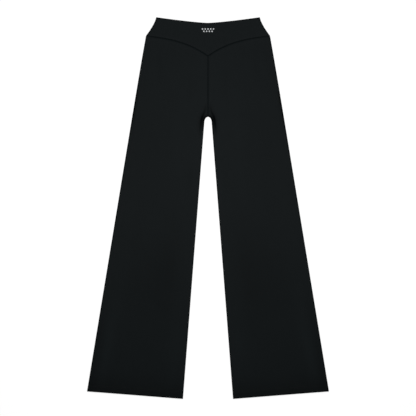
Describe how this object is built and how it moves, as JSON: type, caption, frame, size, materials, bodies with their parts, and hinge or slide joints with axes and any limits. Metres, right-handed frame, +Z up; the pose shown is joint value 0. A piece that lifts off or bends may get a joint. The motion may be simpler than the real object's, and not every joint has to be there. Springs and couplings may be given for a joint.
{
  "type": "yoga pants",
  "caption": "High-waisted wide-leg yoga pants in plain black stretch knit, with a V-seamed double waistband and turned-up hems, laid flat with the front up.",
  "frame": {"origin": "on the surface that the garment lies on, under the middle of its box", "axes": "+Y up the garment from the hems to the waist, +Z up from the surface through the front, +X towards the wearer's left"},
  "size_m": [0.6888, 1.0879, 0.0062],
  "materials": {
    "leg_knit": "smooth matte black stretch knit with a very fine nap",
    "waistband_knit": "the same matte black stretch knit, doubled",
    "thread": "black polyester sewing thread with a faint sheen",
    "transfer_film": "pale grey film, heat-pressed onto the waistband as a plain grid of dots"
  },
  "bodies": {
    "root": {"waistband_front": "waistband_knit", "waistband_back": "waistband_knit", "leg_front_left": "leg_knit", "leg_front_right": "leg_knit", "leg_back_left": "leg_knit", "leg_back_right": "leg_knit"}
  },
  "joints": []
}
